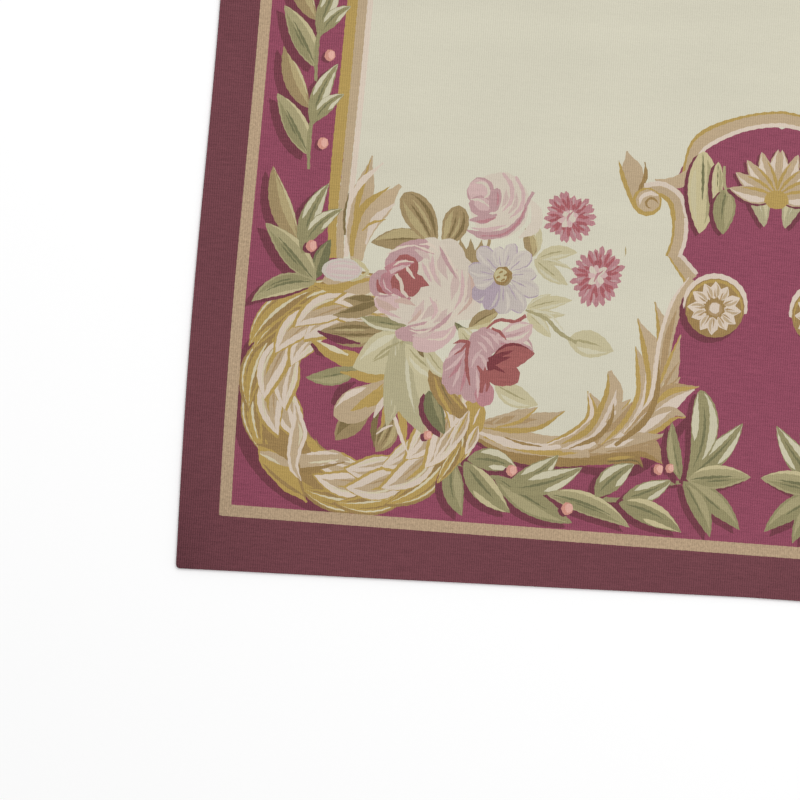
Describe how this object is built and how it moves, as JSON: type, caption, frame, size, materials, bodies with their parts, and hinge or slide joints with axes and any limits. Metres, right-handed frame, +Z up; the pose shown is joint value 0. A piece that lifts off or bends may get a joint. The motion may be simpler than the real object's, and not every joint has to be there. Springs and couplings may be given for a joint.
{
  "type": "flat tapestry-woven rug",
  "caption": "Flat rectangular wool rug, tapestry woven in one piece, plain outer band and guard stripe round a floral field.",
  "frame": {"origin": "on the floor, under the middle of the rug's bounding box", "axes": "+Z up out of the face of the rug, +Y along its length and its warps, +X across it"},
  "size_m": [1.2254, 1.8448, 0.003],
  "materials": {
    "woven_wool": "matt ribbed wool tapestry weave, maroon band, tan guard stripe, crimson and ivory field with floral motifs"
  },
  "bodies": {
    "root": {"rug": "woven_wool"}
  },
  "joints": []
}
